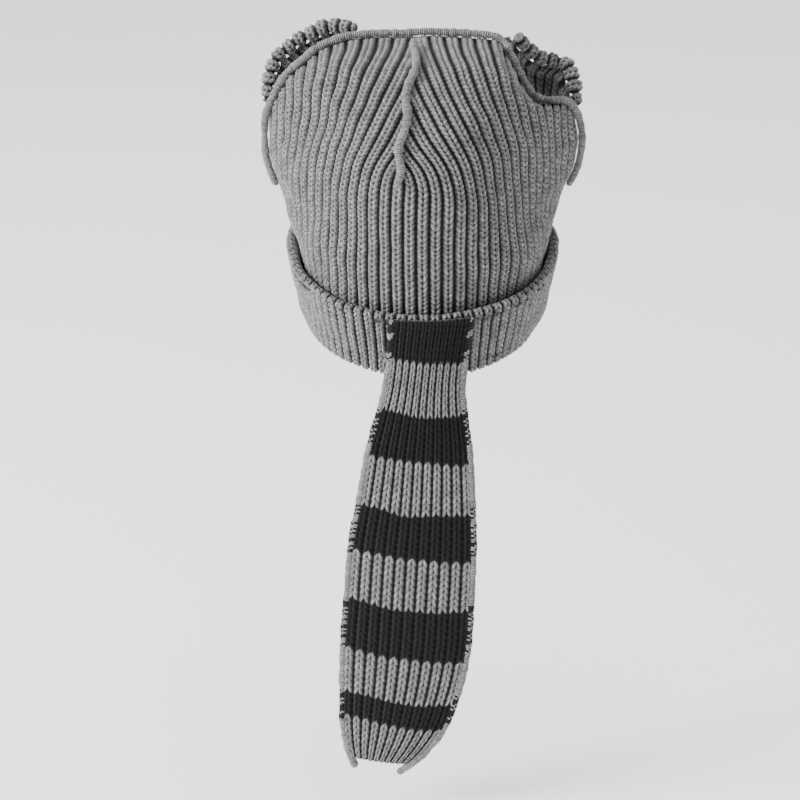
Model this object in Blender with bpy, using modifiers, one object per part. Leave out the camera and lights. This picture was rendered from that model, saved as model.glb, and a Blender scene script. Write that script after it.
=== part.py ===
"""A rib-knit beanie with two open ears, a turned-up cuff and a striped tail.

Metres, +Z up. The wearer faces +Y, so the tail and the back seam are on the -Y side.
The origin is where the top of a head meets the inside of the crown.
"""

from collections import namedtuple

import bmesh
import bpy
import numpy as np

# Crown
CROWN_WIDTH = 0.199
CROWN_DEPTH = 0.200
CROWN_HEIGHT = 0.1945
WALL = 0.0035
RIBS = 72
RIB_DEPTH = 0.0016

# Cuff, the knit turned up and doubled at the brim
CUFF_HEIGHT = 0.0425
CUFF_THICKNESS = 0.0056
CUFF_FLARE = 0.0028

# Ears, the corners of the crown, each with a mouth open along its top
MOUTH_SAG = 0.029
MOUTH_RISE = 0.014
MOUTH_GAPE = 0.020
EAR_RIM_RADIUS = 0.0044

# Overlocked seams
SEAM_RADIUS = 0.0027
DART_RIBS_LEFT = 4
DART_RIBS_RIGHT = 7
DART_WAVE = 0.0016

# Tail
TAIL_LENGTH = 0.330
TAIL_WIDTH = 0.0865
TAIL_THICKNESS = 0.0036
TAIL_RIBS = 11
TAIL_RIB_DEPTH = 0.0010
TAIL_EDGE_RADIUS = 0.0026

# Clearances between pieces
GAP = 0.0003
FACET_ALLOWANCE = 0.0004

HALF_RIBS = RIBS // 2

# The crown from its brim (rise 0) to its top seam (rise 1). Widths are shares of half the
# crown's width, back and front of half its depth, drops below the top of its height.
# Pinch 1 is an oval section and 2 one that comes to a point at each side. Corner says how
# late a row drops towards its ears.
Level = namedtuple("Level", "rise width back front side_drop back_drop front_drop pinch corner")
LEVELS = (
    Level(0.00, 0.722, 0.955, 0.930, 0.897, 1.000, 0.799, 0.88, 2.0),
    Level(0.14, 0.812, 0.972, 0.960, 0.681, 0.789, 0.578, 0.96, 2.0),
    Level(0.26, 0.872, 0.992, 0.980, 0.578, 0.645, 0.470, 1.05, 2.1),
    Level(0.34, 0.900, 1.000, 0.985, 0.524, 0.553, 0.404, 1.30, 2.3),
    Level(0.43, 0.965, 0.995, 0.970, 0.455, 0.455, 0.332, 1.70, 2.6),
    Level(0.53, 0.998, 0.955, 0.930, 0.378, 0.347, 0.255, 1.95, 3.0),
    Level(0.66, 1.000, 0.860, 0.830, 0.321, 0.234, 0.172, 2.00, 3.5),
    Level(0.79, 0.998, 0.660, 0.640, 0.285, 0.116, 0.090, 2.00, 4.2),
    Level(0.90, 0.995, 0.380, 0.370, 0.265, 0.039, 0.031, 2.00, 4.8),
    Level(1.00, 0.990, 0.000, 0.000, 0.257, 0.000, 0.000, 2.00, 5.2),
)
CORE_DROP = 0.48
EAR_FOOT = 0.385
EAR_TOP = 0.70
EAR_WALL_EXTRA = 0.75

# Each mouth from its inner end to the ear's corner. Across is a share of half the crown's
# width, the others are shares of the mouth's sag, gape, rise and gape.
Lip = namedtuple("Lip", "across back_sag back_gape front_rise front_gape")
LEFT_MOUTH = (
    Lip(0.32, 0.00, 0.00, 0.00, 0.00),
    Lip(0.44, 0.00, 0.12, 0.08, 0.45),
    Lip(0.58, 0.02, 0.22, 0.20, 0.85),
    Lip(0.72, 0.04, 0.26, 0.35, 1.00),
    Lip(0.86, 0.02, 0.22, 0.70, 0.95),
    Lip(0.95, 0.00, 0.12, 1.00, 0.60),
    Lip(1.00, 0.00, 0.00, 0.00, 0.00),
)
RIGHT_MOUTH = (
    Lip(0.48, 0.00, 0.00, 0.00, 0.00),
    Lip(0.56, 0.32, 0.30, 0.10, 0.35),
    Lip(0.64, 0.80, 0.40, -0.45, 0.70),
    Lip(0.74, 1.00, 0.45, -0.72, 0.95),
    Lip(0.84, 0.70, 0.40, -0.25, 1.00),
    Lip(0.94, 0.18, 0.20, 0.55, 0.70),
    Lip(1.00, 0.00, 0.00, 0.00, 0.00),
)

# The dart that takes ribs out of the middle of each panel. Place is a share of the way
# across the panel, taken a share of the ribs that it takes in all.
Dart = namedtuple("Dart", "rise place taken")
DART = (
    Dart(0.00, 0.444, 0.00),
    Dart(0.52, 0.444, 0.00),
    Dart(0.62, 0.450, 0.30),
    Dart(0.76, 0.462, 0.62),
    Dart(0.90, 0.478, 0.90),
    Dart(1.00, 0.486, 1.00),
)
DART_FOOT = 0.50

# The cuff's section, once round it. Up is a share of its height, out of half its thickness.
Fold = namedtuple("Fold", "up out")
CUFF_SECTION = (
    Fold(0.000, 0.10),
    Fold(0.070, 0.95),
    Fold(0.450, 1.00),
    Fold(0.800, 1.15),
    Fold(0.950, 1.25),
    Fold(1.000, 0.20),
    Fold(0.940, -0.90),
    Fold(0.450, -1.00),
    Fold(0.050, -0.80),
)

# The tail's two edges, as shares of its length down from the cuff's top and of its width
# from the middle of the hat.
Width = namedtuple("Width", "down left right")
TAIL_EDGES = (
    Width(0.000, -0.254, 0.370),
    Width(0.140, -0.300, 0.312),
    Width(0.280, -0.434, 0.370),
    Width(0.380, -0.497, 0.393),
    Width(0.465, -0.555, 0.405),
    Width(0.600, -0.601, 0.393),
    Width(0.702, -0.630, 0.372),
    Width(0.807, -0.640, 0.285),
    Width(0.888, -0.635, 0.160),
    Width(0.940, -0.600, 0.000),
    Width(0.978, -0.540, -0.170),
)
TAIL_TOP = 0.96
TAIL_RELAX = 0.07
TAIL_FLATTEN = 0.65

# Rows of the lofts
CROWN_ROWS = (0.0, 0.08, 0.16, 0.26, 0.34, 0.43, 0.53, 0.66, 0.79, 0.90, 0.96, 1.0)
LINING_ROWS = (0.0, 0.16, 0.34, 0.43, 0.58, 0.76, 0.90, 1.0)
TAIL_ROWS = 18
SEAM_STEP = 0.0068
TAIL_EDGE_STEP = 0.0100

Finish = namedtuple("Finish", "colour roughness")
HEATHER = Finish((0.30, 0.295, 0.285, 1.0), 0.95)
DARK_HEATHER = Finish((0.22, 0.215, 0.21, 1.0), 0.95)
TAIL_YARN = Finish((0.16, 0.158, 0.155, 1.0), 0.95)
OVERLOCK = Finish((0.36, 0.355, 0.345, 1.0), 0.9)


def through(knots, values, at):
    """A smooth curve through the values at the knots, with slopes from their neighbours."""
    knots = np.asarray(knots, float)
    values = np.asarray(values, float)
    slopes = np.gradient(values, knots)
    at = np.clip(np.asarray(at, float), knots[0], knots[-1])
    i = np.clip(np.searchsorted(knots, at, side="right") - 1, 0, len(knots) - 2)
    step = knots[i + 1] - knots[i]
    t = (at - knots[i]) / step
    return (
        (2 * t**3 - 3 * t**2 + 1) * values[i]
        + (t**3 - 2 * t**2 + t) * step * slopes[i]
        + (3 * t**2 - 2 * t**3) * values[i + 1]
        + (t**3 - t**2) * step * slopes[i + 1]
    )


def column(table, name):
    return [getattr(row, name) for row in table]


def level(name, rise):
    return through(column(LEVELS, "rise"), column(LEVELS, name), rise)


def ease(t):
    """0 below 0, 1 above 1, and smooth between."""
    t = np.clip(t, 0.0, 1.0)
    return t * t * (3 - 2 * t)


def lip(table, name, across):
    """One column of a mouth's table, exactly 0 outside the mouth."""
    knots = column(table, "across")
    inside = (across > knots[0]) & (across < knots[-1])
    return np.where(inside, through(knots, column(table, name), across), 0.0)


def plain_panel(front, angle, rise):
    """A panel of the crown before its mouth opens.

    Each row is x = -a cos(angle), y = d sin(angle)^pinch, and its height falls from the
    middle's to the side's by the corner power of cos(angle).
    """
    half_width = CROWN_WIDTH / 2 * level("width", rise)
    half_depth = CROWN_DEPTH / 2 * level("front" if front else "back", rise)
    side = WALL - CROWN_HEIGHT * level("side_drop", rise)
    middle = WALL - CROWN_HEIGHT * level("front_drop" if front else "back_drop", rise)
    across = np.clip(-np.cos(angle), -1.0, 1.0)
    round_off = np.clip(1 - across**2, 0.0, 1.0) ** (level("pinch", rise) / 2)
    hold = np.clip(1 - np.abs(across) ** level("corner", rise), 0.0, 1.0)
    x = half_width * across
    y = (1 if front else -1) * half_depth * round_off
    z = side + (middle - side) * hold ** (level("pinch", rise) / 2)
    return np.stack(np.broadcast_arrays(x, y, z), axis=-1)


def panel(front, angle, rise):
    """A panel of the crown, with the back one sagging and the front one rising at the mouths."""
    points = plain_panel(front, angle, rise)
    across = -np.cos(angle)
    opened = ease((rise - EAR_TOP) / (1 - EAR_TOP))
    for sign, table in ((-1, LEFT_MOUTH), (1, RIGHT_MOUTH)):
        here = across * sign
        if front:
            points[..., 1] += opened * MOUTH_GAPE * lip(table, "front_gape", here)
            points[..., 2] += opened * MOUTH_RISE * lip(table, "front_rise", here)
        else:
            points[..., 1] -= opened * MOUTH_GAPE * lip(table, "back_gape", here)
            points[..., 2] -= opened * MOUTH_SAG * lip(table, "back_sag", here)
    return points


def outward(points):
    """Unit vectors away from the hat's core: level up to the core's top, then from there."""
    core = WALL - CROWN_HEIGHT * CORE_DROP
    away = points.copy()
    away[..., 2] = np.maximum(points[..., 2] - core, 0.0)
    return away / np.linalg.norm(away, axis=-1, keepdims=True)


def share_of_panel(rib, rise):
    """How far across its panel a rib lies, once the dart has taken its ribs."""
    place = through(column(DART, "rise"), column(DART, "place"), rise)
    taken = np.interp(rise, column(DART, "rise"), column(DART, "taken"))
    foot = DART[0].place * HALF_RIBS
    left = foot - DART_RIBS_LEFT * taken
    right = foot + DART_RIBS_RIGHT * taken
    before = place * np.minimum(rib / left, 1.0)
    after = 1 - (1 - place) * np.minimum((HALF_RIBS - rib) / (HALF_RIBS - right), 1.0)
    return np.where(rib < foot, before, after)


def angle_at(front, share, rise):
    """The panel's angle where a share of one row's length has been covered, at one rise."""
    angles = np.linspace(0.0, np.pi, 361)
    row = plain_panel(front, angles, rise)
    steps = np.linalg.norm(np.diff(row, axis=0), axis=1)
    covered = np.concatenate([[0.0], np.cumsum(steps)])
    return np.interp(share * covered[-1], covered, angles)


def rib_angles(front, ribs, rises):
    return np.array([angle_at(front, share_of_panel(ribs, rise), rise) for rise in rises])


def rib_wave(ribs, rises):
    """+1 on a rib and -1 between two, fading at the seams."""
    wave = np.cos(2 * np.pi * ribs)[None, :]
    rises = np.asarray(rises, float)[:, None]
    ribs = ribs[None, :]
    top = ease((1.0 - rises) / 0.04)
    edge = np.minimum(ribs, HALF_RIBS - ribs)
    side = np.maximum(ease((EAR_FOOT - rises) / 0.04), ease(edge / 1.5))
    taken = np.interp(rises, column(DART, "rise"), column(DART, "taken"))
    foot = DART[0].place * HALF_RIBS
    from_left = foot - DART_RIBS_LEFT * taken - ribs
    from_right = ribs - foot - DART_RIBS_RIGHT * taken
    dart = np.maximum(ease((DART_FOOT - rises) / 0.04), ease(np.maximum(from_left, from_right)))
    return wave * top * side * dart


def crown_wall(points, across, rises):
    """Points moved inwards by the wall, which a ray crosses at a slant in the ears."""
    rises = np.asarray(rises, float)[:, None]
    slant = EAR_WALL_EXTRA * np.abs(across) ** 3 * ease((rises - 0.30) / 0.45)
    return points - outward(points) * (WALL * (1 + slant))[..., None]


def add_patch(mesh, grid, flip=False):
    """Quads between the neighbouring points of a grid."""
    rows, columns = grid.shape[:2]
    verts = [[mesh.verts.new(tuple(p)) for p in row] for row in grid]
    for r in range(rows - 1):
        for c in range(columns - 1):
            quad = [verts[r][c], verts[r][c + 1], verts[r + 1][c + 1], verts[r + 1][c]]
            mesh.faces.new(quad[::-1] if flip else quad)


def finish_material(name, finish):
    material = bpy.data.materials.new(name)
    material.use_nodes = True
    shader = material.node_tree.nodes["Principled BSDF"]
    shader.inputs["Base Color"].default_value = finish.colour
    shader.inputs["Roughness"].default_value = finish.roughness
    shader.inputs["Metallic"].default_value = 0.0
    material.diffuse_color = finish.colour
    return material


def add_object(name, data, finish):
    data.materials.append(finish_material(name, finish))
    placed = bpy.data.objects.new(name, data)
    HAT.objects.link(placed)
    return placed


def object_from(name, mesh, finish):
    """Welds the patches where they meet and makes them one smooth-shaded object."""
    bmesh.ops.remove_doubles(mesh, verts=mesh.verts, dist=1e-7)
    bmesh.ops.recalc_face_normals(mesh, faces=mesh.faces)
    data = bpy.data.meshes.new(name)
    mesh.to_mesh(data)
    mesh.free()
    data.shade_smooth()
    return add_object(name, data, finish)


def make_crown():
    """Two panels inside and out, joined round the brim and round each mouth."""
    ribs = np.arange(RIBS + 1) / 2
    mesh = bmesh.new()
    for front in (False, True):
        angles = rib_angles(front, ribs, CROWN_ROWS)
        rises = np.array(CROWN_ROWS)[:, None]
        outside = panel(front, angles, rises)
        waves = rib_wave(ribs, CROWN_ROWS)[..., None]
        outside = outside + outward(outside) * waves * RIB_DEPTH / 2

        angles = rib_angles(front, ribs, LINING_ROWS)
        rises = np.array(LINING_ROWS)[:, None]
        inside = crown_wall(panel(front, angles, rises), -np.cos(angles), LINING_ROWS)

        add_patch(mesh, outside, flip=front)
        add_patch(mesh, inside, flip=not front)
        add_patch(mesh, np.stack([inside[0], outside[0]]), flip=front)
        across = -np.cos(angles[-1])
        for table in (LEFT_MOUTH, RIGHT_MOUTH):
            sign = -1 if table is LEFT_MOUTH else 1
            opening = np.flatnonzero(lip(table, "front_gape", across * sign) != 0)
            span = slice(opening[0] - 1, opening[-1] + 2)
            add_patch(mesh, np.stack([outside[-1, span], inside[-1, span]]), flip=front)
    return object_from("crown", mesh, HEATHER)


def cuff_rise(up):
    """The crown's rise beside a share of the cuff's height."""
    slope = CROWN_HEIGHT * (LEVELS[0].side_drop - LEVELS[1].side_drop) / LEVELS[1].rise
    return up * CUFF_HEIGHT / slope


def cuff_point(front, angle, up, out):
    """A point of the cuff, a share of its height up and of half its thickness out."""
    beside = plain_panel(front, angle, cuff_rise(up))
    flare = CUFF_FLARE * up**2 * (0.35 + 0.65 * np.sin(angle) ** 2)
    stand = RIB_DEPTH / 2 + GAP + FACET_ALLOWANCE + flare + CUFF_THICKNESS / 2 * (1 + out)
    return beside + outward(beside) * stand[..., None]


def make_cuff():
    """The section carried once round the brim, with ribs on its outer face."""
    ribs = np.arange(RIBS + 1) / 2
    up = np.array(column(CUFF_SECTION, "up"))
    out = np.array(column(CUFF_SECTION, "out"))
    up = np.append(up, up[0])[:, None]
    out = np.append(out, out[0])[:, None]
    mesh = bmesh.new()
    for front in (False, True):
        angles = np.array([angle_at(front, ribs / HALF_RIBS, cuff_rise(u)) for u in up[:, 0]])
        points = cuff_point(front, angles, up, out)
        waves = np.cos(2 * np.pi * ribs)[None, :] * np.clip(out, 0.0, 1.0)
        points = points + outward(points) * (waves * RIB_DEPTH / 2)[..., None]
        add_patch(mesh, points, flip=front)
    return object_from("cuff", mesh, DARK_HEATHER)


def tail_place(x, along):
    """The middle of the tail's thickness at x, a length along it from the cuff's top.

    It follows the cuff's outer face down to the brim and then hangs, its curve across
    flattening as it goes.
    """
    angles = np.linspace(0.05, np.pi - 0.05, 181)
    stand = max(TAIL_EDGE_RADIUS, TAIL_THICKNESS / 2 + TAIL_RIB_DEPTH / 2) + GAP
    stand = stand + RIB_DEPTH / 2 + FACET_ALLOWANCE
    ups = np.linspace(0.0, TAIL_TOP, 25)
    out = np.interp(ups, [0.0, 0.1, 0.8, 1.0], [0.8, 1.0, 1.15, 1.25])
    face = cuff_point(False, angles[None, :], ups[:, None], out[:, None])
    face = face + outward(face) * stand
    x, along = np.broadcast_arrays(np.asarray(x, float), np.asarray(along, float))
    across = np.array([[np.interp(v, row[:, 0], row[:, 1]) for row in face] for v in x.ravel()])
    height = np.array([[np.interp(v, row[:, 0], row[:, 2]) for row in face] for v in x.ravel()])
    up = TAIL_TOP - along.ravel() / CUFF_HEIGHT
    on_cuff = np.clip(up, 0.0, TAIL_TOP)
    y = np.array([np.interp(u, ups, row) for u, row in zip(on_cuff, across)])
    z = np.array([np.interp(u, ups, row) for u, row in zip(on_cuff, height)])
    hanging = np.maximum(-up, 0.0) * CUFF_HEIGHT
    hem = np.interp(0.0, face[0, :, 0], face[0, :, 1])
    flat = ease(hanging / TAIL_RELAX) * TAIL_FLATTEN
    y = y + (hem - y) * flat
    z = z - hanging
    return np.stack([x.ravel(), y, z], axis=-1).reshape(x.shape + (3,))


def tail_edge(side, inset, downs):
    """An edge of the tail moved in by a length, as (x, length along) at each share down."""
    along = np.asarray(downs) * TAIL_LENGTH
    name = "left" if side < 0 else "right"
    x = TAIL_WIDTH * through(column(TAIL_EDGES, "down"), column(TAIL_EDGES, name), downs)
    slope = np.gradient(x, along)
    length = np.sqrt(1 + slope**2)
    return x - side * inset / length, along + side * inset * slope / length


def make_tail():
    """A ribbed strip with a wall, closed at both ends."""
    end = TAIL_EDGES[-1].down - 3 * TAIL_EDGE_RADIUS / TAIL_LENGTH
    downs = end * (1 - np.linspace(1.0, 0.0, TAIL_ROWS + 1) ** 1.3)
    inset = 2 * TAIL_EDGE_RADIUS + GAP + 2 * FACET_ALLOWANCE
    left, left_along = tail_edge(-1, inset, downs)
    right, right_along = tail_edge(1, inset, downs)
    across = np.linspace(0.0, 1.0, 2 * TAIL_RIBS + 1)
    x = left[:, None] + (right - left)[:, None] * across
    along = left_along[:, None] + (right_along - left_along)[:, None] * across
    points = tail_place(x, along)
    points[..., 1] += np.cos(2 * np.pi * TAIL_RIBS * across) * TAIL_RIB_DEPTH / 2
    mesh = bmesh.new()
    add_patch(mesh, points)
    strip = object_from("tail", mesh, TAIL_YARN)
    wall = strip.modifiers.new("wall", "SOLIDIFY")
    wall.thickness = TAIL_THICKNESS
    wall.offset = 0.0
    return strip


def tube(name, path, radius, finish, swell=None):
    """A round tube with filled ends along a path of points."""
    curve = bpy.data.curves.new(name, "CURVE")
    curve.dimensions = "3D"
    curve.bevel_depth = radius
    curve.bevel_resolution = 2
    curve.use_fill_caps = True
    spline = curve.splines.new("POLY")
    spline.points.add(len(path) - 1)
    for i, (point, place) in enumerate(zip(spline.points, path)):
        point.co = (*place, 1.0)
        point.radius = 1.0 if swell is None else float(swell[i])
    return add_object(name, curve, finish)


def evenly(path, step):
    """The path's points spaced evenly, about a step apart."""
    lengths = np.linalg.norm(np.diff(path, axis=0), axis=1)
    covered = np.concatenate([[0.0], np.cumsum(lengths)])
    count = max(int(round(covered[-1] / step)), 2)
    at = np.linspace(0.0, covered[-1], count + 1)
    return np.stack([np.interp(at, covered, path[:, i]) for i in range(3)], axis=-1)


def beside(path, distance):
    """The path moved away from the hat's core, square to its own direction."""
    along = np.gradient(path, axis=0)
    along /= np.linalg.norm(along, axis=1, keepdims=True)
    away = outward(path)
    away -= along * np.sum(away * along, axis=1, keepdims=True)
    return path + away / np.linalg.norm(away, axis=1, keepdims=True) * distance


def make_top_seam():
    """The overlocked seam up one ear's side, along the back panel's top edge and down."""
    rises = np.linspace(EAR_FOOT, 1.0, 60)[:-1]
    angles = np.linspace(0.0, np.pi, 241)
    left = panel(False, 0.0, rises)
    top = panel(False, angles, 1.0)
    right = panel(False, np.pi, rises)[::-1]
    path = evenly(np.concatenate([left, top, right]), SEAM_STEP)
    path = beside(path, SEAM_RADIUS + GAP + FACET_ALLOWANCE)
    return tube("top_seam", path, SEAM_RADIUS, OVERLOCK)


def make_ear_rim(name, table, sign):
    """The rolled edge of the front panel along one mouth."""
    knots = column(table, "across")
    across = np.linspace(knots[0] + 0.10, knots[-1] - 0.012, 60)
    angles = np.arccos(-across * sign)
    path = evenly(panel(True, angles, 1.0), SEAM_STEP)
    path = beside(path, EAR_RIM_RADIUS + GAP + FACET_ALLOWANCE)
    t = np.linspace(0.0, 1.0, len(path))
    swell = 0.6 + 0.4 * np.sin(np.pi * t) ** 0.5
    return tube(name, path, EAR_RIM_RADIUS, DARK_HEATHER, swell)


def make_back_seam():
    """The dart's overlocked ridge down the back, from below the top seam."""
    rises = np.linspace(DART_FOOT, 0.955, 60)
    places = through(column(DART, "rise"), column(DART, "place"), rises)
    angles = [angle_at(False, place, rise) for place, rise in zip(places, rises)]
    path = panel(False, np.array(angles), rises)
    sway = np.sin(np.linspace(0.0, 5.5 * np.pi, len(rises))) * DART_WAVE
    path[:, 0] += sway
    path = beside(evenly(path, SEAM_STEP), SEAM_RADIUS + GAP + FACET_ALLOWANCE)
    return tube("back_seam", path, SEAM_RADIUS, OVERLOCK)


def make_tail_edge(name, side):
    """The overlocked binding down one edge of the tail."""
    downs = np.linspace(0.0, TAIL_EDGES[-1].down, 120)
    x, along = tail_edge(side, TAIL_EDGE_RADIUS, downs)
    return tube(name, evenly(tail_place(x, along), TAIL_EDGE_STEP), TAIL_EDGE_RADIUS, OVERLOCK)


for old in list(bpy.data.objects):
    bpy.data.objects.remove(old)
HAT = bpy.data.collections.new("beanie")
bpy.context.scene.collection.children.link(HAT)

make_crown()
make_cuff()
make_top_seam()
make_back_seam()
make_ear_rim("ear_rim_left", LEFT_MOUTH, -1)
make_ear_rim("ear_rim_right", RIGHT_MOUTH, 1)
make_tail()
make_tail_edge("tail_edge_left", -1)
make_tail_edge("tail_edge_right", 1)
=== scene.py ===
"""The looks of a rib-knit beanie with two open ears, a turned-up cuff and a striped tail.

Metres, +Z up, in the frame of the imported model: the tail and the back seam are on the -Y side.
Each knitted piece is a surface on a grid of ribs and courses. Its stitches are raised in the
mesh, and its finish reads the same ribs and courses from the piece's UV map, named knit.
"""

from collections import namedtuple

import bmesh
import bpy
import numpy as np
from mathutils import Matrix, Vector


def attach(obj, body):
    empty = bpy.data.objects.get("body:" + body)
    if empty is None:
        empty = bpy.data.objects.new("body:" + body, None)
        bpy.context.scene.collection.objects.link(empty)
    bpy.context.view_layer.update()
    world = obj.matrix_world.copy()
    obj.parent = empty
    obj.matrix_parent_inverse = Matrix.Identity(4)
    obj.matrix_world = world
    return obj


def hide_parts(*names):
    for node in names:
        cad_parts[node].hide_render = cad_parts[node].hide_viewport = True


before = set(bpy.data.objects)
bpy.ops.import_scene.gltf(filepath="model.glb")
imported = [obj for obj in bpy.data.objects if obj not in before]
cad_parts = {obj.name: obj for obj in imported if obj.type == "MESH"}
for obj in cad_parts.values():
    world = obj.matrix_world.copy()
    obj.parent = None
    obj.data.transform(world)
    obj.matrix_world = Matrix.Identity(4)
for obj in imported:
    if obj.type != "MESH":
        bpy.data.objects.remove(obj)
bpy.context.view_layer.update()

# The camera, at the photograph's angle to the hat, the soft light and the floor
CAMERA_PLACE = (-0.01474, -1.34664, 0.24728)
CAMERA_TILT = np.radians(70.0)
CAMERA_LENS = 94.77
SKY_COLOUR = (0.95, 0.97, 1.0, 1.0)
SKY_STRENGTH = 0.60
Lamp = namedtuple("Lamp", "name place aim size power")
LAMPS = (
    Lamp("key", (-2.2, -0.9, 1.0), (0.0, 0.0, -0.15), 0.9, 120.0),
    Lamp("sky", (0.0, 0.3, 2.6), (0.0, 0.2, -0.5), 2.4, 60.0),
)
FLOOR_HEIGHT = -0.50
FLOOR_REACH = 8.0
FLOOR_COLOUR = (0.86, 0.87, 0.89)
FLOOR_GLOW = (0.95, 0.96, 1.0, 1.0)
FLOOR_GLOW_STRENGTH = 0.9

# The hat's shape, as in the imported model
CROWN_WIDTH = 0.199
CROWN_DEPTH = 0.200
CROWN_HEIGHT = 0.1945
WALL = 0.0035
RIBS = 72
RIB_DEPTH = 0.0016
CUFF_HEIGHT = 0.0425
CUFF_THICKNESS = 0.0056
CUFF_FLARE = 0.0028
FLARE_AT_SIDES = 0.35
MOUTH_SAG = 0.029
MOUTH_RISE = 0.014
MOUTH_GAPE = 0.020
EAR_RIM_RADIUS = 0.0044
SEAM_RADIUS = 0.0027
DART_RIBS_LEFT = 4
DART_RIBS_RIGHT = 7
DART_WAVE = 0.0016
TAIL_LENGTH = 0.330
TAIL_WIDTH = 0.0865
TAIL_THICKNESS = 0.0036
TAIL_RIBS = 11
TAIL_RIB_DEPTH = 0.0010
TAIL_EDGE_RADIUS = 0.0026
GAP = 0.0003
FACET_ALLOWANCE = 0.0004
HALF_RIBS = RIBS // 2
CORE_DROP = 0.48
EAR_FOOT = 0.385
EAR_TOP = 0.70
EAR_WALL_EXTRA = 0.75
EAR_WALL_START = 0.30
EAR_WALL_RISE = 0.45
TAIL_TOP = 0.96
TAIL_RELAX = 0.07
TAIL_FLATTEN = 0.65
TAIL_REACH = 0.070
TAIL_INSET = 1.1 * TAIL_EDGE_RADIUS
TAIL_END_INSET = 3 * TAIL_EDGE_RADIUS
TAIL_FACE_ANGLE = 0.05
SEAM_STEP = 0.003
DART_TOP = 0.955
DART_WAVES = 2.75
RIM_INSET = 0.10
RIM_CORNER_INSET = 0.012
RIM_THIN = 0.6

# The crown from its brim (rise 0) to its top seam (rise 1), in shares of its sizes
Level = namedtuple("Level", "rise width back front side_drop back_drop front_drop pinch corner")
LEVELS = (
    Level(0.00, 0.722, 0.955, 0.930, 0.897, 1.000, 0.799, 0.88, 2.0),
    Level(0.14, 0.812, 0.972, 0.960, 0.681, 0.789, 0.578, 0.96, 2.0),
    Level(0.26, 0.872, 0.992, 0.980, 0.578, 0.645, 0.470, 1.05, 2.1),
    Level(0.34, 0.900, 1.000, 0.985, 0.524, 0.553, 0.404, 1.30, 2.3),
    Level(0.43, 0.965, 0.995, 0.970, 0.455, 0.455, 0.332, 1.70, 2.6),
    Level(0.53, 0.998, 0.955, 0.930, 0.378, 0.347, 0.255, 1.95, 3.0),
    Level(0.66, 1.000, 0.860, 0.830, 0.321, 0.234, 0.172, 2.00, 3.5),
    Level(0.79, 0.998, 0.660, 0.640, 0.285, 0.116, 0.090, 2.00, 4.2),
    Level(0.90, 0.995, 0.380, 0.370, 0.265, 0.039, 0.031, 2.00, 4.8),
    Level(1.00, 0.990, 0.000, 0.000, 0.257, 0.000, 0.000, 2.00, 5.2),
)

# Each mouth from its inner end to the ear's corner
Lip = namedtuple("Lip", "across back_sag back_gape front_rise front_gape")
LEFT_MOUTH = (
    Lip(0.32, 0.00, 0.00, 0.00, 0.00),
    Lip(0.44, 0.00, 0.12, 0.08, 0.45),
    Lip(0.58, 0.02, 0.22, 0.20, 0.85),
    Lip(0.72, 0.04, 0.26, 0.35, 1.00),
    Lip(0.86, 0.02, 0.22, 0.70, 0.95),
    Lip(0.95, 0.00, 0.12, 1.00, 0.60),
    Lip(1.00, 0.00, 0.00, 0.00, 0.00),
)
RIGHT_MOUTH = (
    Lip(0.48, 0.00, 0.00, 0.00, 0.00),
    Lip(0.56, 0.32, 0.30, 0.10, 0.35),
    Lip(0.64, 0.80, 0.40, -0.45, 0.70),
    Lip(0.74, 1.00, 0.45, -0.72, 0.95),
    Lip(0.84, 0.70, 0.40, -0.25, 1.00),
    Lip(0.94, 0.18, 0.20, 0.55, 0.70),
    Lip(1.00, 0.00, 0.00, 0.00, 0.00),
)

# The dart that takes ribs out of the middle of each panel
Dart = namedtuple("Dart", "rise place taken")
DART = (
    Dart(0.00, 0.444, 0.00),
    Dart(0.52, 0.444, 0.00),
    Dart(0.62, 0.450, 0.30),
    Dart(0.76, 0.462, 0.62),
    Dart(0.90, 0.478, 0.90),
    Dart(1.00, 0.486, 1.00),
)
DART_FOOT = 0.50
DART_NEAR = 0.02
DART_SPREAD = 0.012
DART_BLUR = np.linspace(-1.0, 1.0, 9)

# The cuff's section, once round it
Fold = namedtuple("Fold", "up out")
CUFF_SECTION = (
    Fold(0.000, 0.10),
    Fold(0.070, 0.95),
    Fold(0.450, 1.00),
    Fold(0.800, 1.15),
    Fold(0.950, 1.25),
    Fold(1.000, 0.20),
    Fold(0.940, -0.90),
    Fold(0.450, -1.00),
    Fold(0.050, -0.80),
)
CUFF_ROLL = 6
CUFF_OUTER_ROWS = 96
CUFF_INNER_ROWS = 25
CUFF_PLAIN_OUT = -0.6

# The cuff's outer face, which the tail lies on
CUFF_FACE = (
    Fold(0.0, 0.80),
    Fold(0.1, 1.00),
    Fold(0.8, 1.15),
    Fold(1.0, 1.25),
)

# The tail's two edges, as shares of its length and width
Width = namedtuple("Width", "down left right")
TAIL_EDGES = (
    Width(0.000, -0.254, 0.370),
    Width(0.140, -0.300, 0.312),
    Width(0.280, -0.434, 0.370),
    Width(0.380, -0.497, 0.393),
    Width(0.465, -0.555, 0.405),
    Width(0.600, -0.601, 0.393),
    Width(0.702, -0.630, 0.372),
    Width(0.807, -0.640, 0.285),
    Width(0.888, -0.635, 0.160),
    Width(0.940, -0.600, 0.000),
    Width(0.978, -0.540, -0.170),
)
TAIL_CLOTH_LENGTH = TAIL_EDGES[-1].down * TAIL_LENGTH

# Where each black stripe of the tail starts and ends, in shares of the cloth's length
BLACK_STRIPES = ((0.000, 0.084), (0.190, 0.292), (0.397, 0.503), (0.612, 0.716), (0.815, 0.882))

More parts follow.
